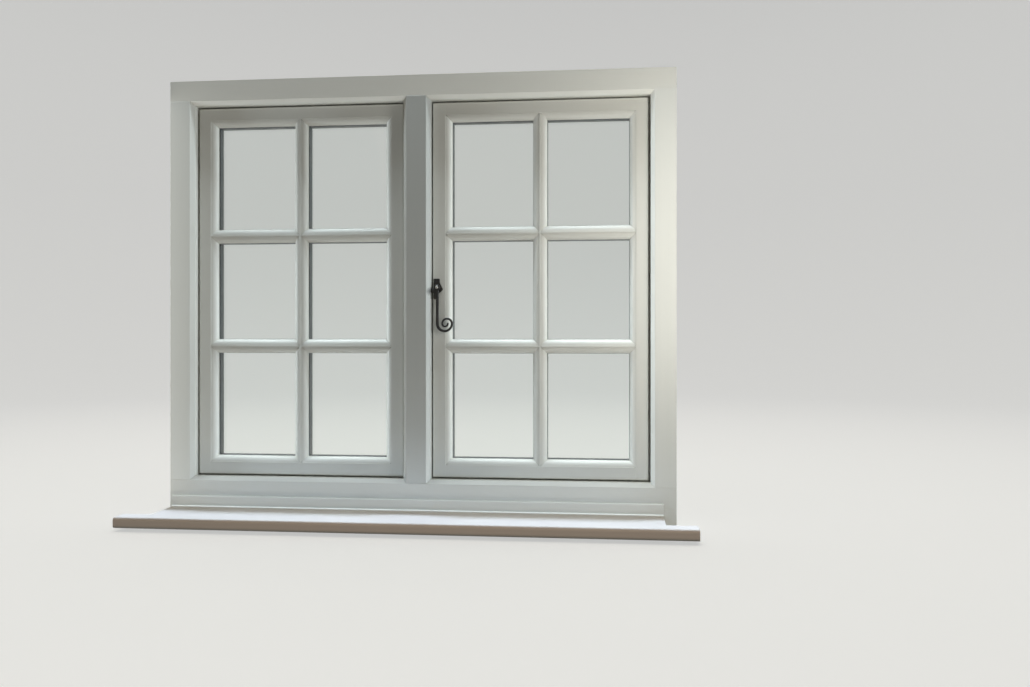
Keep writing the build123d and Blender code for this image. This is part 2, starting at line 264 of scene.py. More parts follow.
# Finishes
def paint(name, settings, axis, grime_and_shade=1.0, relief=1.0, smudge_and_shadow_at=None):
    """Brushed satin paint over timber whose grain runs along one axis, with dirt and painted shade
    in its corners.

    Where a point is given, iron has left a smudge round it, darkened further by the nose's painted
    shadow.
    """
    shader = Shader(name)
    lines_across, strokes_across = settings.grain_scale, settings.brush_scale
    grain = shader.streaks(axis, lines_across * 0.03, lines_across, detail=4.0, roughness=0.6)
    brush = shader.streaks(axis, strokes_across * 0.02, strokes_across, detail=2.0, roughness=0.5)
    peel = shader.noise(strokes_across * 1.3, detail=2.0)
    cloud = shader.noise(2.3, detail=4.0)
    patch = shader.noise(17.0, detail=3.0)

    openness = shader.node(
        "ShaderNodeAmbientOcclusion",
        {"samples": 8},
        {"Distance": settings.grime_and_shade_reach},
        output="AO",
    )
    # Painted shade: ambient occlusion darkens the paint in corners and gaps, where shade falls,
    # mixed with patchy dirt
    in_corners = shader.between(openness, 0.35, 0.95, to_low=1.0, to_high=0.0)
    dirt_and_shade = in_corners * shader.between(patch, 0.2, 0.75, to_low=0.35, to_high=1.0)
    clouded, grained = shade(settings.colour, 0.945), shade(settings.colour, 0.82)
    tone = shader.mix(cloud, rgba(settings.colour), clouded)
    tone = shader.mix(grain * 0.16, tone, grained)
    tone = shader.mix(dirt_and_shade * (settings.grime_and_shade * grime_and_shade), tone, rgba(settings.grime_and_shade_colour))
    if smudge_and_shadow_at:
        # Painted shadow of the handle's nose, together with the iron's smudge, darkens the paint
        # round the given point
        tone = shader.mix(shader.smudge_and_shadow(smudge_and_shadow_at), tone, rgba(settings.smudge_and_shadow_colour))

    height = grain * 0.5 + brush * 0.55 + peel * 0.2
    normal = shader.bump(height, settings.brush_depth, 0.55 * relief, settings.arris)
    satin = shader.between(cloud + brush * 0.5, 0.4, 1.1, to_low=0.34, to_high=0.5)
    return shader.finish(Base_Color=tone, Roughness=satin + dirt_and_shade * 0.2, Normal=normal)


def glass(settings):
    """Float glass: a clear sheet with a reflection that grows at a slant."""
    shader = Shader("float_glass")
    ripple = shader.noise(5.0, detail=1.0)
    normal = shader.node(
        "ShaderNodeBump", {}, {"Height": ripple, "Distance": 0.0004, "Strength": 0.3}
    )
    mirror = {"Roughness": 0.015, "Normal": normal, "Color": (0.95, 0.97, 0.96, 1.0)}
    gloss = shader.node("ShaderNodeBsdfGlossy", {}, mirror)
    clear = shader.node("ShaderNodeBsdfTransparent", {}, {"Color": rgba(settings.tint)})
    slant = shader.node("ShaderNodeLayerWeight", {}, {"Blend": 0.5}, output="Facing")
    share = slant**SLANT_POWER * (1 - FACE_ON_MIRROR) + FACE_ON_MIRROR
    return shader.surface(shader.node("ShaderNodeMixShader", {}, {0: share, 1: clear, 2: gloss}))


def spacer_bar():
    """Dark spacer with its fine rolling marks."""
    shader = Shader("spacer_bar")
    dark, light = (0.030, 0.042, 0.046), (0.055, 0.072, 0.078)
    marks = shader.noise(900.0, detail=2.0)
    cloud = shader.noise(30.0, detail=3.0)
    tone = shader.mix(cloud, rgba(dark), rgba(light))
    normal = shader.bump(marks, depth=0.0001, strength=0.3, arris=0.0004)
    roughness = shader.between(cloud, 0.3, 0.7, to_low=0.3, to_high=0.45)
    return shader.finish(Base_Color=tone, Roughness=roughness, Normal=normal)


def rubber(name, dark, light):
    """Matt seal or sealant with a little bloom."""
    shader = Shader(name)
    cloud = shader.noise(60.0, detail=4.0)
    fine = shader.noise(1500.0, detail=2.0)
    tone = shader.mix(cloud, rgba(dark), rgba(light))
    normal = shader.bump(fine, depth=0.0001, strength=0.35, arris=0.0003)
    roughness = shader.between(cloud, 0.3, 0.7, to_low=0.6, to_high=0.8)
    return shader.finish(Base_Color=tone, Roughness=roughness, Normal=normal)


def black_iron(settings):
    """Hammered iron under thin black wax, browner where it is handled."""
    shader = Shader("black_iron")
    dents = shader.node(
        "ShaderNodeTexVoronoi", {"feature": "SMOOTH_F1"}, {"Vector": shader.place, "Scale": 260.0}
    )
    pits = shader.noise(900.0, detail=4.0, roughness=0.65)
    cloud = shader.noise(45.0, detail=4.0)
    worn = shader.between(cloud, 0.52, 0.72)
    brown = (0.062, 0.047, 0.036)
    tone = shader.mix(pits, shade(settings.iron, 0.7), shade(settings.iron, 1.35))
    tone = shader.mix(worn * 0.5, tone, rgba(brown))
    normal = shader.bump(dents * 0.9 + pits * 0.3, depth=0.0009, strength=0.8, arris=0.0005)
    roughness = shader.between(pits, 0.3, 0.7, to_low=0.42, to_high=0.62) - worn * 0.1
    return shader.finish(Base_Color=tone, Roughness=roughness, Metallic=0.35, Normal=normal)


def bright_metal(name, tones, roughness, axis):
    """Zinc-plated or worn bright steel, brushed along one axis, between two tones and finishes."""
    shader = Shader(name)
    brushed = shader.streaks(axis, along=60.0, across=1400.0, detail=3.0, roughness=0.6)
    cloud = shader.noise(90.0, detail=4.0)
    tone = shader.mix(cloud, rgba(tones[0]), rgba(tones[1]))
    normal = shader.bump(brushed, depth=0.0001, strength=0.3, arris=0.0004)
    rough = shader.between(cloud * 0.6 + brushed * 0.4, 0.3, 0.7, *roughness)
    return shader.finish(Base_Color=tone, Roughness=rough, Metallic=1.0, Normal=normal)


# Meshes
def boxes(node):
    """Lowest and highest corners of the separate solids in a CAD node."""
    mesh = bmesh.new()
    mesh.from_mesh(nodes[node].data)
    bmesh.ops.remove_doubles(mesh, verts=mesh.verts, dist=SAME_CORNER)
    left = set(mesh.verts)
    found = []
    while left:
        reached = [left.pop()]
        solid = []
        while reached:
            vertex = reached.pop()
            solid.append(vertex.co.copy())
            near = {edge.other_vert(vertex) for edge in vertex.link_edges} & left
            left -= near
            reached.extend(near)
        found.append((Vector(map(min, *solid)), Vector(map(max, *solid))))
    mesh.free()
    return sorted(found, key=lambda box: (round(box[0].z, 3), round(box[0].x, 3)))


def new_object(name, mesh):
    thing = bpy.data.objects.new(name, mesh)
    bpy.context.scene.collection.objects.link(thing)
    return thing


def mesh_data(name, mesh):
    """Turn a mesh in the making into mesh data, and free it."""
    data = bpy.data.meshes.new(name)
    mesh.to_mesh(data)
    mesh.free()
    return data


def keep_result(thing):
    """Give an object the mesh that its modifiers make, and remove them."""
    bpy.context.view_layer.update()
    evaluated = thing.evaluated_get(bpy.context.evaluated_depsgraph_get())
    mesh = bpy.data.meshes.new_from_object(evaluated)
    thing.modifiers.clear()
    thing.data = mesh


def faced(name, points, edges, facing):
    """A mesh of points and edges, where each point may have the direction that it faces."""
    mesh = bpy.data.meshes.new(name)
    mesh.from_pydata(points, edges, [])
    if facing:
        attribute = mesh.attributes.new("facing", "FLOAT_VECTOR", "POINT")
        for entry, direction in zip(attribute.data, facing, strict=True):
            entry.vector = direction
    return new_object(name, mesh)


def lines(name, runs, facing=(), closed=False):
    """A mesh of edges along runs of corners, open or each closed to a ring."""
    points, edges = [], []
    for corners in runs:
        start = len(points)
        points.extend(corners)
        edges.extend((start + i, start + i + 1) for i in range(len(corners) - 1))
        if closed:
            edges.append((len(points) - 1, start))
    return faced(name, points, edges, facing)


def revolved(name, profile, segments):
    """A closed shape turned about Z from a profile of radii and heights."""
    mesh = bmesh.new()
    ring = [mesh.verts.new((radius, 0.0, height)) for radius, height in profile]
    edges = [mesh.edges.new(pair) for pair in zip(ring, ring[1:])]
    bmesh.ops.spin(
        mesh, geom=ring + edges, cent=(0, 0, 0), axis=(0, 0, 1), angle=math.tau, steps=segments
    )
    bmesh.ops.remove_doubles(mesh, verts=mesh.verts, dist=SAME_SEAM)
    bmesh.ops.recalc_face_normals(mesh, faces=mesh.faces)
    return mesh_data(name, mesh)


def cut_slot(head, half_size, floor):
    """Cut a straight slot down to a height into the middle of a head."""
    half_depth = half_size[2]
    block = bmesh.new()
    bmesh.ops.create_cube(block, size=2.0)
    bmesh.ops.scale(block, vec=half_size, verts=block.verts)
    bmesh.ops.translate(block, vec=(0, 0, half_depth + floor), verts=block.verts)
    cutter = new_object("slot", mesh_data("slot", block))
    modifier = head.modifiers.new("slot", "BOOLEAN")
    modifier.object = cutter
    keep_result(head)
    bpy.data.objects.remove(cutter)


def screw_head(name, cross, rise):
    """A head 1 unit across: a low dome with a straight or crossed slot cut in it."""
    radius, sunk, segments = 0.5, -0.12, 24
    half_slot, half_depth, slot_floor = 0.06, 0.1, 0.35 * rise
    crown = [(0.0, rise), (0.22, 0.94 * rise), (0.40, 0.62 * rise)]
    rim = [(radius, 0.0), (radius, sunk), (0.0, sunk)]
    head = new_object(name, revolved(name, crown + rim, segments))
    arms = [(0.28, half_slot), (half_slot, 0.28)] if cross else [(0.36, half_slot)]
    for half_x, half_y in arms:
        cut_slot(head, (half_x, half_y, half_depth), slot_floor)
    return head


# Geometry Nodes
class Pattern(Graph):
    """A Geometry Nodes tree with named inputs."""

    def __init__(self, name, inputs):
        super().__init__(bpy.data.node_groups.new(name, "GeometryNodeTree"))
        side = self.tree.interface.new_socket
        side("Geometry", in_out="INPUT", socket_type="NodeSocketGeometry")
        side("Geometry", in_out="OUTPUT", socket_type="NodeSocketGeometry")
        for label, kind in inputs.items():
            side(label, in_out="INPUT", socket_type=kind)
        self.entry = self.tree.nodes.new("NodeGroupInput")

    def given(self, label):
        return Value(self, self.entry.outputs[label])

    def path(self):
        """The given edges as curves."""
        return self.node("GeometryNodeMeshToCurve", {}, {"Mesh": self.given("Geometry")})

    def facing_turn(self):
        """The rotation that turns Z to the direction that a point faces."""
        facing = self.node(
            "GeometryNodeInputNamedAttribute", {"data_type": "FLOAT_VECTOR"}, {"Name": "facing"}
        )
        return self.node("FunctionNodeAlignRotationToVector", {"axis": "Z"}, {"Vector": facing})

    def instances(self, points, instance, rotation, scale):
        sockets = {"Points": points, "Instance": instance, "Rotation": rotation, "Scale": scale}
        return self.node("GeometryNodeInstanceOnPoints", {}, sockets)

    def close(self, geometry):
        """Realize the instances, set the material and end the tree."""
        whole = self.node("GeometryNodeRealizeInstances", {}, {"Geometry": geometry})
        finish = {"Geometry": whole, "Material": self.given("Material")}
        painted = self.node("GeometryNodeSetMaterial", {}, finish)
        self.node("NodeGroupOutput", {}, {"Geometry": painted})
        return self

    def apply(self, thing, **values):
        """Run the tree on an object and keep the result as its plain mesh."""
        modifier = thing.modifiers.new("pattern", "NODES")
        modifier.node_group = self.tree
        keys = {item.name: item.identifier for item in self.tree.interface.items_tree}
        for label, value in values.items():
            modifier[keys[label]] = value
        keep_result(thing)


def line_pattern():
    """A round line of sealant along edges."""
    kinds = {"Radius": "NodeSocketFloat", "Material": "NodeSocketMaterial"}
    pattern = Pattern("sealant_line", kinds)
    path = pattern.path()
    circle = {"Resolution": 10, "Radius": pattern.given("Radius")}
    section = pattern.node("GeometryNodeCurvePrimitiveCircle", {}, circle)
    sweep = {"Curve": path, "Profile Curve": section, "Fill Caps": True}
    return pattern.close(pattern.node("GeometryNodeCurveToMesh", {}, sweep))


def head_pattern():
    """Screw heads on points, each turned about its own axis by chance."""
    kinds = {
        "Head": "NodeSocketObject",
        "Diameter": "NodeSocketFloat",
        "Seed": "NodeSocketInt",
        "Material": "NodeSocketMaterial",
    }
    pattern = Pattern("screw_heads", kinds)
    head = pattern.node(
        "GeometryNodeObjectInfo", {}, {"Object": pattern.given("Head")}, output="Geometry"
    )
    turned = pattern.facing_turn()
    # Sockets 2 and 3 and output 1 are the node's plain numbers
    angle = pattern.node(
        "FunctionNodeRandomValue",
        {"data_type": "FLOAT"},
        {2: 0.0, 3: math.tau, "Seed": pattern.given("Seed")},
        output=1,
    )
    spin = pattern.node("FunctionNodeAxisAngleToRotation", {}, {"Axis": (0, 0, 1), "Angle": angle})
    rotation = pattern.node(
        "FunctionNodeRotateRotation",
        {"rotation_space": "LOCAL"},
        {"Rotation": turned, "Rotate By": spin},
    )
    size = pattern.node(
        "ShaderNodeCombineXYZ", {}, {axis: pattern.given("Diameter") for axis in "XYZ"}
    )
    return pattern.close(pattern.instances(pattern.given("Geometry"), head, rotation, size))


def pin_pattern():
    """Small flattened pin heads at even steps along edges."""
    kinds = {
        "Spacing": "NodeSocketFloat",
        "Diameter": "NodeSocketFloat",
        "Material": "NodeSocketMaterial",
    }
    pattern = Pattern("bead_pins", kinds)
    along = {"Curve": pattern.path(), "Length": pattern.given("Spacing")}
    steps = pattern.node("GeometryNodeCurveToPoints", {"mode": "LENGTH"}, along)
    ball = {"Segments": 10, "Rings": 6, "Radius": pattern.given("Diameter") * 0.5}
    head = pattern.node("GeometryNodeMeshUVSphere", {}, ball)
    flattened = (1.0, 1.0, 0.4)
    return pattern.close(pattern.instances(steps, head, pattern.facing_turn(), flattened))


# Sizes and colours that a user would change
class PaintSettings(bpy.types.PropertyGroup):
    colour: FloatVectorProperty(
        name="Paint", description="Colour of the timber's paint", subtype="COLOR", size=3,
        default=(0.80, 0.79, 0.735),
    )
    # Dirt and painted shade: the grime colour, amount and reach darken corners where shade falls
    grime_and_shade_colour: FloatVectorProperty(
        name="Grime", description="Colour of the dirt in corners", subtype="COLOR", size=3,
        default=(0.25, 0.235, 0.19),
    )
    grime_and_shade: FloatProperty(
        name="Grime amount", description="How far dirt covers the paint in corners",
        subtype="FACTOR", min=0.0, max=1.0, default=0.22,
    )
    grime_and_shade_reach: FloatProperty(
        name="Grime reach", description="How far dirt reaches out of a corner", unit="LENGTH",
        default=0.008,
    )
    # Painted shadow: this colour also stands for the nose's shadow on the mullion, together with
    # the iron's smudge
    smudge_and_shadow_colour: FloatVectorProperty(
        name="Smudge", description="Colour of iron's smudge on the mullion", subtype="COLOR",
        size=3, default=(0.060, 0.050, 0.038),
    )
    grain_scale: FloatProperty(
        name="Grain", description="Grain lines in a metre across the timber", default=330.0
    )
    brush_scale: FloatProperty(
        name="Brush marks", description="Brush marks in a metre across the stroke", default=720.0
    )
    brush_depth: FloatProperty(
        name="Relief", description="Depth of grain and brush marks under the paint", unit="LENGTH",
        default=0.00025,
    )
    arris: FloatProperty(
        name="Arris", description="Radius by which paint softens sharp edges", unit="LENGTH",
        default=0.0012,
    )


class GlassSettings(bpy.types.PropertyGroup):
    tint: FloatVectorProperty(
        name="Glass tint", description="Light that passes one face of a sheet", subtype="COLOR",
        size=3, default=(0.982, 0.992, 0.988),
    )
    sealant: FloatProperty(
        name="Sealant", description="Radius of the line of sealant round each pane", unit="LENGTH",
        default=0.0011,
    )
    unit_margin: FloatProperty(
        name="Unit margin", description="How far a unit reaches past the sight line", unit="LENGTH",
        default=0.007,
    )


class FixingSettings(bpy.types.PropertyGroup):
    iron: FloatVectorProperty(
        name="Iron", description="Colour of the black fittings", subtype="COLOR", size=3,
        default=(0.021, 0.020, 0.019),
    )
    hinge_screw: FloatProperty(
        name="Hinge screw", description="Head of a hinge screw", unit="LENGTH", default=0.0072
    )
    plate_screw: FloatProperty(
        name="Plate screw", description="Head of a fastener screw", unit="LENGTH", default=0.0058
    )
    pin_spacing: FloatProperty(
        name="Pin spacing", description="Distance between bead pins", unit="LENGTH", default=0.105
    )
    pin_head: FloatProperty(
        name="Pin head", description="Head of a bead pin", unit="LENGTH", default=0.0022
    )
    seed: IntProperty(name="Seed", description="Chance by which screws are turned", default=7)
    caulk: FloatProperty(
        name="Caulk", description="Radius of the caulk over the board's joint", unit="LENGTH",
        default=0.0024,
    )


class StudioSettings(bpy.types.PropertyGroup):
    floor: FloatVectorProperty(
        name="Floor", description="Colour of the floor and backdrop", subtype="COLOR", size=3,
        default=(0.62, 0.605, 0.575),
    )
    backdrop_glow: FloatProperty(
        name="Backdrop light", description="Light that the backdrop itself gives", default=0.52
    )
    ambient: FloatProperty(
        name="Ambient light", description="Strength of the light from all round", default=0.06
    )
    sky_power: FloatProperty(
        name="Sky light", description="Power of the soft light above, outside", unit="POWER",
        default=68.0,
    )
    side_power: FloatProperty(
        name="Side light", description="Power of the light at the right side, outside",
        unit="POWER", default=34.0,
    )
    glance_power: FloatProperty(
        name="Glancing light", description="Power of the left light that grazes the mouldings",
        unit="POWER", default=30.0,
    )
    room_power: FloatProperty(
        name="Room light", description="Power of the warm light in the room", unit="POWER",
        default=1.5,
    )
    jamb_power: FloatProperty(
        name="Jamb light", description="Power of the light beside the left jamb, in the room",
        unit="POWER", default=0.2,
    )
    bounce_power: FloatProperty(
        name="Bounced light", description="Power of the light from below, in the room",
        unit="POWER", default=5.5,
    )
    board_power: FloatProperty(
        name="Board light", description="Power of the daylight that reaches the board's top",
        unit="POWER", default=97.0,
    )
    floor_power: FloatProperty(
        name="Floor light", description="Power of the soft light on the floor alone", unit="POWER",
        default=120.0,
    )
    radius: FloatProperty(
        name="Studio radius", description="Radius of the round studio", unit="LENGTH", default=6.0
    )


# Pieces
class CASEMENT_OT_paint(bpy.types.Operator):
    """Paint the frame, the sashes, the sills and the window board"""

    bl_idname = "casement.paint"
    bl_label = "Paint the timber"

    def execute(self, context):
        settings = context.scene.casement_paint
        standing = ["frame_jamb_left", "frame_jamb_right"]
        lying = ["frame_head", "frame_sill", "cover_fillet"]
        for light in LIGHTS:
            standing += [f"{light}_stile_left", f"{light}_stile_right", f"{light}_bar_vertical"]
            lying += [f"{light}_top_rail", f"{light}_bottom_rail"]
            lying += [f"{light}_bars_lower", f"{light}_bars_upper", f"{light}_glazing_beads"]
        cover(standing, paint("paint_standing", settings, UPRIGHT))
        cover(lying, paint("paint_lying", settings, LEVEL))
        nose = self.nose()
        cover(["frame_mullion"], paint("paint_mullion", settings, UPRIGHT, smudge_and_shadow_at=nose))
        cover(["sub_sill"], paint("paint_sub_sill", settings, LEVEL, grime_and_shade=1.6, relief=1.3))
        cover(["window_board"], paint("paint_board", settings, LEVEL, grime_and_shade=0.6, relief=0.5))
        cover(["fastener_strike"], paint("paint_strike", settings, UPRIGHT, grime_and_shade=2.2, smudge_and_shadow_at=nose))
        return {"FINISHED"}

    def nose(self):
        """The place beside the strike's edge where the handle's nose rubs and where its shadow is
        painted.
        """
        inset, lift, height = 0.001, 0.003, 0.0255
        low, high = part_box("fastener_strike")
        return (high.x - inset, low.y - lift, low.z + height)


class CASEMENT_OT_glaze(bpy.types.Operator):
    """Finish the glass, the spacers and the weatherseals, and run sealant round the panes"""

    bl_idname = "casement.glaze"
    bl_label = "Glaze the sashes"

    def execute(self, context):
        settings = context.scene.casement_glass
        clear = glass(settings)
        bar = spacer_bar()
        seal = rubber("weatherseal_rubber", (0.070, 0.070, 0.068), (0.120, 0.120, 0.117))
        sealant = rubber("glazing_sealant", (0.52, 0.52, 0.50), (0.62, 0.62, 0.60))
        pattern = line_pattern()
        for light in LIGHTS:
            cover([f"{light}_glass_inner", f"{light}_glass_outer"], clear)
            cover([f"{light}_spacers"], bar)
            cover([f"{light}_weatherseal"], seal)
            for side in ("inner", "outer"):
                sheets = boxes(f"{light}_glass_{side}")
                rings = [self.sight_line(sheet, side, settings) for sheet in sheets]
                line = lines(f"{light}_sealant_{side}", rings, closed=True)
                pattern.apply(line, Radius=settings.sealant, Material=sealant)
                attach(line, "window")
        return {"FINISHED"}

    def sight_line(self, sheet, side, settings):
        """The sight line of a pane, just proud of the face of its own sheet."""
        low, high = sheet
        proud = settings.sealant * 0.6
        depth = low.y - proud if side == "inner" else high.y + proud
        x0, x1 = low.x + settings.unit_margin, high.x - settings.unit_margin
        z0, z1 = low.z + settings.unit_margin, high.z - settings.unit_margin
        return [(x0, depth, z0), (x1, depth, z0), (x1, depth, z1), (x0, depth, z1)]


class CASEMENT_OT_fastener(bpy.types.Operator):
    """Finish the handle, its plate and its rivet, and screw the plate down"""

    bl_idname = "casement.fastener"
    bl_label = "Fit the fastener"

    def execute(self, context):
        settings = context.scene.casement_fixings
        iron = black_iron(settings)
        cover(["fastener_handle", "fastener_plate"], iron)
        tones = (0.30, 0.29, 0.27), (0.48, 0.47, 0.44)
        cover(["fastener_pivot"], bright_metal("rivet_steel", tones, (0.3, 0.45), LEVEL))
        head = screw_head("slotted_head", cross=False, rise=0.035)
        places = self.screw_places()
        screws = faced("fastener_screws", places, [], [(0, -1, 0)] * len(places))
        head_pattern().apply(
            screws, Head=head, Diameter=settings.plate_screw, Seed=settings.seed, Material=iron
        )
        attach(screws, "window")
        bpy.data.objects.remove(head)
        return {"FINISHED"}

    def screw_places(self):
        """One screw in the plate's upper end and one in its point beside the rivet."""
        low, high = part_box("fastener_plate")
        from_edge, from_top = 0.0068, 0.0048
        from_point, under_middle = 0.0052, 0.0075
        return [
            (low.x + from_edge, low.y, high.z - from_top),
            (high.x - from_point, low.y, (low.z + high.z) / 2 - under_middle),
        ]


class CASEMENT_OT_hinges(bpy.types.Operator):
    """Finish the hinges and drive their screws"""

    bl_idname = "casement.hinges"
    bl_label = "Hang the casement"

    def execute(self, context):
        settings = context.scene.casement_fixings
        tones = (0.34, 0.34, 0.33), (0.48, 0.48, 0.46)
        zinc = bright_metal("hinge_zinc", tones, (0.42, 0.62), UPRIGHT)
        places = []
        for level in ("lower", "upper"):
            cover([f"hinge_{level}_{part}" for part in ("frame_leaf", "sash_leaf", "pin")], zinc)
            places += self.screw_places(level)
        head = screw_head("crossed_head", cross=True, rise=0.16)
        screws = faced("hinge_screws", places, [], [(0, 1, 0)] * len(places))
        head_pattern().apply(
            screws, Head=head, Diameter=settings.hinge_screw, Seed=settings.seed, Material=zinc
        )
        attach(screws, "window")
        bpy.data.objects.remove(head)
        return {"FINISHED"}

    def screw_places(self, level):
        """Three staggered screws in each leaf, at sixths of its height."""
        leaf_thickness, proud = 0.0025, 0.0002
        at_edge, near_pin = (0.0065, 0.007), (0.012, 0.015)
        leaf_low, leaf_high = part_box(f"hinge_{level}_frame_leaf")
        sash_low, sash_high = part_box(f"hinge_{level}_sash_leaf")
        leaf_face = leaf_low.y + leaf_thickness + proud
        step = (leaf_high.z - leaf_low.z) / 6
        places = []
        for sixths, (frame_inset, sash_inset) in ((1, at_edge), (5, at_edge), (3, near_pin)):
            rise = sixths * step
            places.append((leaf_high.x - frame_inset, leaf_face, leaf_low.z + rise))
            places.append((sash_low.x + sash_inset, sash_high.y, sash_low.z + rise))
        return places


class CASEMENT_OT_beads(bpy.types.Operator):
    """Pin the glazing beads outside"""

    bl_idname = "casement.beads"
    bl_label = "Pin the beads"

    def execute(self, context):
        settings = context.scene.casement_fixings
        pattern = pin_pattern()
        for light in LIGHTS:
            runs, facing = [], []
            for bead in boxes(f"{light}_glazing_beads"):
                runs += self.pin_runs(*bead)
                for x, z in ((1, 0), (-1, 0), (0, 1), (0, -1)):
                    facing += [(x, BEAD_SLOPE, z)] * 2
            pins = lines(f"{light}_bead_pins", runs, facing)
            pattern.apply(
                pins,
                Spacing=settings.pin_spacing,
                Diameter=settings.pin_head,
                Material=bpy.data.materials["paint_lying"],
            )
            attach(pins, "window")
        return {"FINISHED"}

    def pin_runs(self, low, high):
        """The runs of pins on the splays of one bead: left, right, bottom and top."""
        inset, flat, corner = 0.0038, 0.002, 0.03
        depth = high.y - (inset - flat) / BEAD_SLOPE
        x0, x1 = low.x + inset, high.x - inset
        z0, z1 = low.z + inset, high.z - inset
        standing = [[(x, depth, z0 + corner), (x, depth, z1 - corner)] for x in (x0, x1)]
        lying = [[(x0 + corner, depth, z), (x1 - corner, depth, z)] for z in (z0, z1)]
        return standing + lying


class CASEMENT_OT_caulk(bpy.types.Operator):
    """Run caulk along the joint of the window board and the cover fillet"""

    bl_idname = "casement.caulk"
    bl_label = "Caulk the board"

    def execute(self, context):
        settings = context.scene.casement_fixings
        low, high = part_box("cover_fillet")
        lift = settings.caulk * 0.25
        path = [(low.x, low.y - lift, low.z + lift), (high.x, low.y - lift, low.z + lift)]
        line = lines("board_caulk", [path])
        line_pattern().apply(
            line, Radius=settings.caulk, Material=bpy.data.materials["paint_lying"]
        )
        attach(line, "window")
        return {"FINISHED"}


# The stage
def lit_groups(name):
    """The groups of things lit together that one thing belongs to."""
    if name == "window_board":
        return ["window", "board"]
    groups = ["window", "joinery"]
    groups.append("head_and_sill" if name in HEAD_AND_SILL else "between")
    if name == "frame_head":
        groups.append("head")
    if name != "frame_mullion":
        groups.append("beside_mullion")
    if name.startswith("left_"):
        groups.append("left_light")
    if name in RAILS:
        groups.append("rails")
    return groups


def soft_light(name, place, aim, size, power, colour, group="window", mirrored=True, blockers=None):
    """A rectangular light on one group of things, which the camera doesn't see."""
    data = bpy.data.lights.new(name, "AREA")
    data.shape = "RECTANGLE"
    data.size, data.size_y = size
    data.energy = power
    data.color = colour
    light = bpy.data.objects.new(name, data)
    light.location = place
    light.rotation_euler = (Vector(aim) - Vector(place)).to_track_quat("-Z", "Y").to_euler()
    light.visible_camera = False
    light.visible_glossy = mirrored
    light.light_linking.receiver_collection = bpy.data.collections[group]
    if blockers:
        light.light_linking.blocker_collection = bpy.data.collections[blockers]
    bpy.context.scene.collection.objects.link(light)


def backdrop_finish(settings):
    """Pale backdrop, lit by its own glow, which is dimmer high up on the room's side."""
    shader = Shader("studio_floor")
    bright, dim = (0.92, 0.93, 0.93), (0.50, 0.49, 0.47)
    cloud = shader.noise(1.5, detail=3.0)
    tone = shader.mix(cloud, rgba(settings.floor), shade(settings.floor, 0.97))
    outwards = shader.node("ShaderNodeSeparateXYZ", {}, {"Vector": shader.place}, output="Y")
    height = shader.node("ShaderNodeSeparateXYZ", {}, {"Vector": shader.place}, output="Z")
    room_side = shader.between(outwards, -2.5, 2.0, to_low=1.0, to_high=0.0)
    glow = shader.mix(room_side * shader.between(height, 0.05, 1.4), rgba(bright), rgba(dim))
    strength = settings.backdrop_glow
    return shader.finish(
        Base_Color=tone, Roughness=0.85, Emission_Color=glow, Emission_Strength=strength
    )


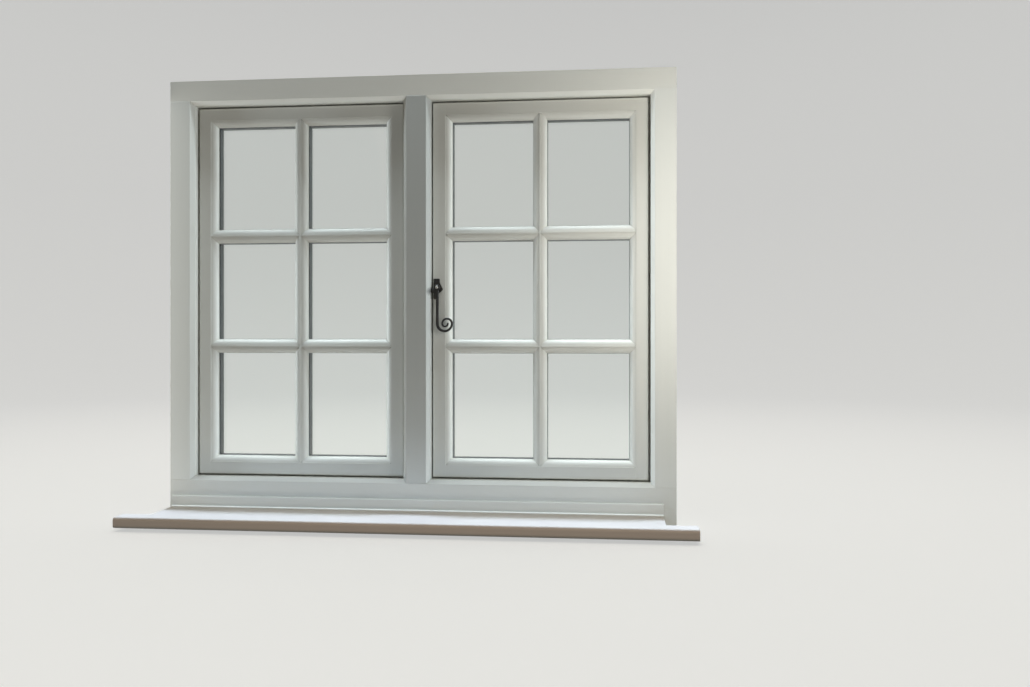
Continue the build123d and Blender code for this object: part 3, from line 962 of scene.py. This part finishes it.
class CASEMENT_OT_studio(bpy.types.Operator):
    """Set up the floor, the lights and the camera"""

    bl_idname = "casement.studio"
    bl_label = "Set up the studio"

    def execute(self, context):
        settings = context.scene.casement_studio
        for name in LIT_GROUPS:
            bpy.data.collections.new(name)
        for thing in bpy.data.objects:
            if thing.type == "MESH":
                for name in lit_groups(thing.name):
                    bpy.data.collections[name].objects.link(thing)
        bpy.data.collections["studio"].objects.link(self.floor(settings))
        self.outside_lights(settings)
        self.glancing_lights(settings)
        self.room_lights(settings)
        self.board_and_floor_lights(settings)
        self.ambient_light(settings)
        self.camera()
        context.scene.view_settings.view_transform = "Standard"
        return {"FINISHED"}

    def floor(self, settings):
        """A round floor that curves up at its rim, a little below what stands on it."""
        cove, steps, rim_height, segments, drop = 1.6, 12, 4.5, 96, 0.0005
        flat = settings.radius - cove
        profile = [(0.0, 0.0), (flat * 0.5, 0.0), (flat, 0.0)]
        for step in range(1, steps + 1):
            angle = step / steps * math.pi / 2
            profile.append((flat + cove * math.sin(angle), cove * (1 - math.cos(angle))))
        profile.append((settings.radius, rim_height))
        floor = new_object("studio_floor", revolved("studio_floor", profile, segments))
        floor.data.transform(Matrix.Translation((0.0, 0.0, -drop)))
        for face in floor.data.polygons:
            face.use_smooth = True
        floor.data.materials.append(backdrop_finish(settings))
        floor.visible_diffuse = False
        floor.visible_shadow = False
        return floor

    def outside_lights(self, settings):
        """Soft daylight from above and from both sides."""
        soft_light(
            "sky", place=(0.0, 1.6, 2.9), aim=MIDDLE, size=(3.0, 2.0),
            power=settings.sky_power, colour=DAYLIGHT,
        )
        for name, x, share in (("outside_left", -2.7, 0.38), ("outside_right", 2.7, 1.0)):
            soft_light(
                name, place=(x, 1.3, 0.9), aim=MIDDLE, size=(1.0, 1.8),
                power=settings.side_power * share, colour=DAYLIGHT,
            )

    def glancing_lights(self, settings):
        """Lights that graze the mouldings from both sides and from above, and one on the head."""
        power = settings.glance_power
        soft_light(
            "glance_left", place=(-2.5, -0.34, 0.55), aim=MIDDLE, size=(0.3, 1.3),
            power=power, colour=CLEAR_LIGHT, group="beside_mullion",
        )
        soft_light(
            "glance_right", place=(3.6, -0.42, 0.55), aim=MIDDLE, size=(0.4, 1.6),
            power=power * 1.3, colour=CLEAR_LIGHT, group="joinery",
        )
        soft_light(
            "glance_far", place=(2.6, -0.36, 0.75), aim=MIDDLE, size=(0.3, 1.3),
            power=power * 0.4, colour=CLEAR_LIGHT, group="left_light",
        )
        for group, share in (("between", 2.9), ("head_and_sill", 1.0)):
            soft_light(
                f"glance_top_{group}", place=(0.0, -0.27, 3.1), aim=(0.0, 0.0, 0.5),
                size=(3.0, 0.2), power=power * share, colour=COOL_LIGHT, group=group,
            )
        soft_light(
            "head_face", place=(-0.3, -2.5, 0.95), aim=(-0.1, 0.0, 0.95), size=(2.0, 0.4),
            power=power * 0.24, colour=PLAIN_LIGHT, group="head",
        )

    def room_lights(self, settings):
        """A dim warm room, and the light that the board, the floor and the jambs throw back."""
        soft_light(
            "room", place=(0.5, -2.8, 1.9), aim=MIDDLE, size=(3.0, 2.0),
            power=settings.room_power, colour=WARM_LIGHT,
        )
        soft_light(
            "room_low", place=(0.3, -1.7, 1.3), aim=(0.0, -0.18, 0.02), size=(2.4, 0.6),
            power=settings.room_power * 7.6, colour=BOARD_FRONT_LIGHT, group="board",
        )
        soft_light(
            "bounce", place=(0.0, -0.45, -0.9), aim=(0.0, 0.0, 0.7), size=(2.0, 0.3),
            power=settings.bounce_power, colour=PLAIN_LIGHT, group="joinery",
            mirrored=False, blockers="joinery",
        )
        soft_light(
            "board_bounce", place=(0.0, -0.14, 0.045), aim=(0.0, -0.02, 0.11), size=(1.08, 0.06),
            power=settings.board_power * 0.0017, colour=BOARD_BOUNCE_LIGHT, group="joinery",
            mirrored=False,
        )
        soft_light(
            "plain_jamb", place=(-0.602, -0.105, 0.53), aim=(0.0, -0.105, 0.53), size=(0.14, 0.95),
            power=settings.jamb_power, colour=PLAIN_LIGHT, group="joinery", mirrored=False,
        )
        soft_light(
            "corner", place=(0.72, -0.40, 0.66), aim=(0.50, 0.0, 0.66), size=(0.25, 0.7),
            power=settings.jamb_power * 10.0, colour=PLAIN_LIGHT, group="beside_mullion",
            mirrored=False,
        )

    def board_and_floor_lights(self, settings):
        """Daylight that falls on the board's top past the rails, and the floor's own light."""
        soft_light(
            "board_light", place=(0.0, 1.6, 1.95), aim=(0.0, -0.11, 0.03), size=(1.9, 0.6),
            power=settings.board_power, colour=BOARD_TOP_LIGHT, group="board",
            mirrored=False, blockers="rails",
        )
        soft_light(
            "floor_light", place=(0.0, 0.0, 4.2), aim=(0.0, 0.0, 0.0), size=(6.0, 6.0),
            power=settings.floor_power, colour=PLAIN_LIGHT, group="studio",
        )

    def ambient_light(self, settings):
        world = bpy.data.worlds.new("studio")
        world.use_nodes = True
        background = world.node_tree.nodes["Background"]
        background.inputs["Color"].default_value = rgba(AMBIENT_LIGHT)
        background.inputs["Strength"].default_value = settings.ambient
        bpy.context.scene.world = world

    def camera(self):
        data = bpy.data.cameras.new("photograph")
        data.sensor_width = SENSOR_WIDTH
        data.lens = CAMERA_LENS
        data.shift_y = -HORIZON_ABOVE_MIDDLE / PICTURE_WIDTH
        data.clip_start = NEAREST_SEEN
        data.clip_end = FURTHEST_SEEN
        camera = bpy.data.objects.new("photograph", data)
        camera.location = CAMERA_PLACE
        camera.rotation_euler = (math.pi / 2, 0.0, CAMERA_TURN)
        bpy.context.scene.collection.objects.link(camera)
        bpy.context.scene.camera = camera


# The add-on
class CASEMENT_PT_panel(bpy.types.Panel):
    """The steps that finish the window"""

    bl_idname = "CASEMENT_PT_panel"
    bl_label = "Casement window"
    bl_space_type = "VIEW_3D"
    bl_region_type = "UI"
    bl_category = "Casement"

    def draw(self, context):
        for operator in OPERATORS:
            self.layout.operator(operator.bl_idname)
        for name in SETTINGS:
            group = getattr(context.scene, name)
            for key in group.__annotations__:
                self.layout.prop(group, key)


OPERATORS = (
    CASEMENT_OT_paint,
    CASEMENT_OT_glaze,
    CASEMENT_OT_fastener,
    CASEMENT_OT_hinges,
    CASEMENT_OT_beads,
    CASEMENT_OT_caulk,
    CASEMENT_OT_studio,
)
SETTINGS = {
    "casement_paint": PaintSettings,
    "casement_glass": GlassSettings,
    "casement_fixings": FixingSettings,
    "casement_studio": StudioSettings,
}


def register():
    for group in SETTINGS.values():
        bpy.utils.register_class(group)
    for operator in OPERATORS:
        bpy.utils.register_class(operator)
    bpy.utils.register_class(CASEMENT_PT_panel)
    for name, group in SETTINGS.items():
        setattr(bpy.types.Scene, name, PointerProperty(type=group))


def unregister():
    for name in SETTINGS:
        delattr(bpy.types.Scene, name)
    bpy.utils.unregister_class(CASEMENT_PT_panel)
    for operator in reversed(OPERATORS):
        bpy.utils.unregister_class(operator)
    for group in SETTINGS.values():
        bpy.utils.unregister_class(group)


def main():
    register()
    bpy.ops.casement.paint()
    bpy.ops.casement.glaze()
    bpy.ops.casement.fastener()
    bpy.ops.casement.hinges()
    bpy.ops.casement.beads()
    bpy.ops.casement.caulk()
    bpy.ops.casement.studio()


if __name__ == "__main__":
    main()
